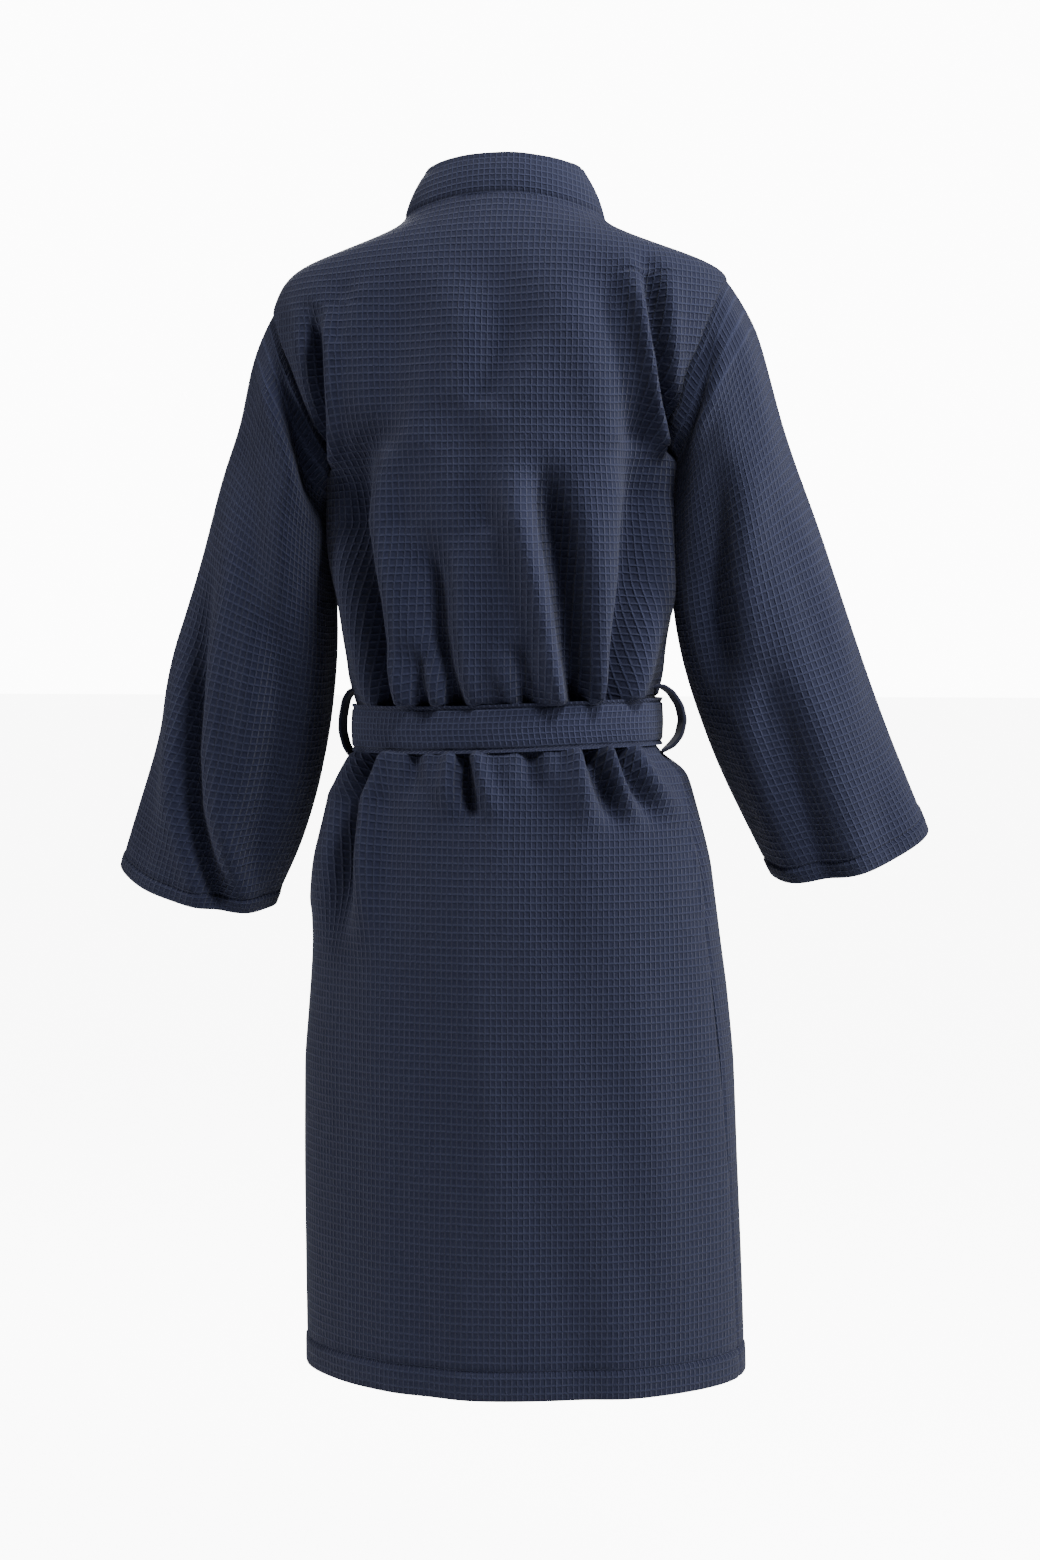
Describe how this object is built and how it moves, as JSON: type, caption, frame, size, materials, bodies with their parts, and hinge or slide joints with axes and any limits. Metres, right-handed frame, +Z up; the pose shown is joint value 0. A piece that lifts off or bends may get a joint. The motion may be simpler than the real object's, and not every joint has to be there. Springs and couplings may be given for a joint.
{
  "type": "bathrobe",
  "caption": "Knee-length kimono-style waffle-weave bathrobe with wide sleeves, standing neck band, side pockets, belt loops and a belt tied at the front.",
  "frame": {"origin": "centre-back neck seam, where the standing band meets the back panel", "axes": "+Z up, the wearer faces -Y, the wearer's left arm is +X"},
  "size_m": [0.7318, 0.2583, 1.0917],
  "materials": {
    "waffle_body": "Matte navy waffle-weave cotton",
    "waffle_sleeve": "Matte navy waffle-weave cotton",
    "waffle_band": "Matte navy waffle-weave cotton, folded double",
    "waffle_belt": "Matte navy waffle-weave cotton, folded double and edge-stitched",
    "loop_strip": "Matte navy folded cotton strip",
    "pocket_cloth": "Matte navy plain-weave cotton"
  },
  "bodies": {
    "robe_body": {"back_panel": "waffle_body", "front_panel_left": "waffle_body", "front_panel_right": "waffle_body", "collar_nape": "waffle_band", "front_band_left": "waffle_band", "front_band_right": "waffle_band", "belt_waist": "waffle_belt", "belt_knot": "waffle_belt", "belt_loop_left": "loop_strip", "belt_loop_right": "loop_strip", "pocket_bag_left": "pocket_cloth", "pocket_bag_right": "pocket_cloth"},
    "left_sleeve": {"sleeve_left": "waffle_sleeve"},
    "right_sleeve": {"sleeve_right": "waffle_sleeve"},
    "left_tail": {"belt_tail_left": "waffle_belt"},
    "right_tail": {"belt_tail_right": "waffle_belt"},
    "hanger": {"hanging_loop": "loop_strip"}
  },
  "joints": [
    {"name": "raise_left_sleeve", "type": "hinge", "parent": "robe_body", "child": "left_sleeve", "pos_m": [0.2, 0, -0.078], "axis": [0, -1, 0], "range_deg": [0, 60]},
    {"name": "raise_right_sleeve", "type": "hinge", "parent": "robe_body", "child": "right_sleeve", "pos_m": [-0.2, 0, -0.078], "axis": [0, 1, 0], "range_deg": [0, 60]},
    {"name": "swing_left_tail", "type": "hinge", "parent": "robe_body", "child": "left_tail", "pos_m": [0.024, -0.1276, -0.4962], "axis": [-1, 0, 0], "range_deg": [0, 80]},
    {"name": "swing_right_tail", "type": "hinge", "parent": "robe_body", "child": "right_tail", "pos_m": [-0.024, -0.1276, -0.4962], "axis": [-1, 0, 0], "range_deg": [0, 80]},
    {"name": "turn_out_hanging_loop", "type": "hinge", "parent": "robe_body", "child": "hanger", "pos_m": [0, 0.0469, -0.002], "axis": [-1, 0, 0], "range_deg": [0, 150]}
  ]
}
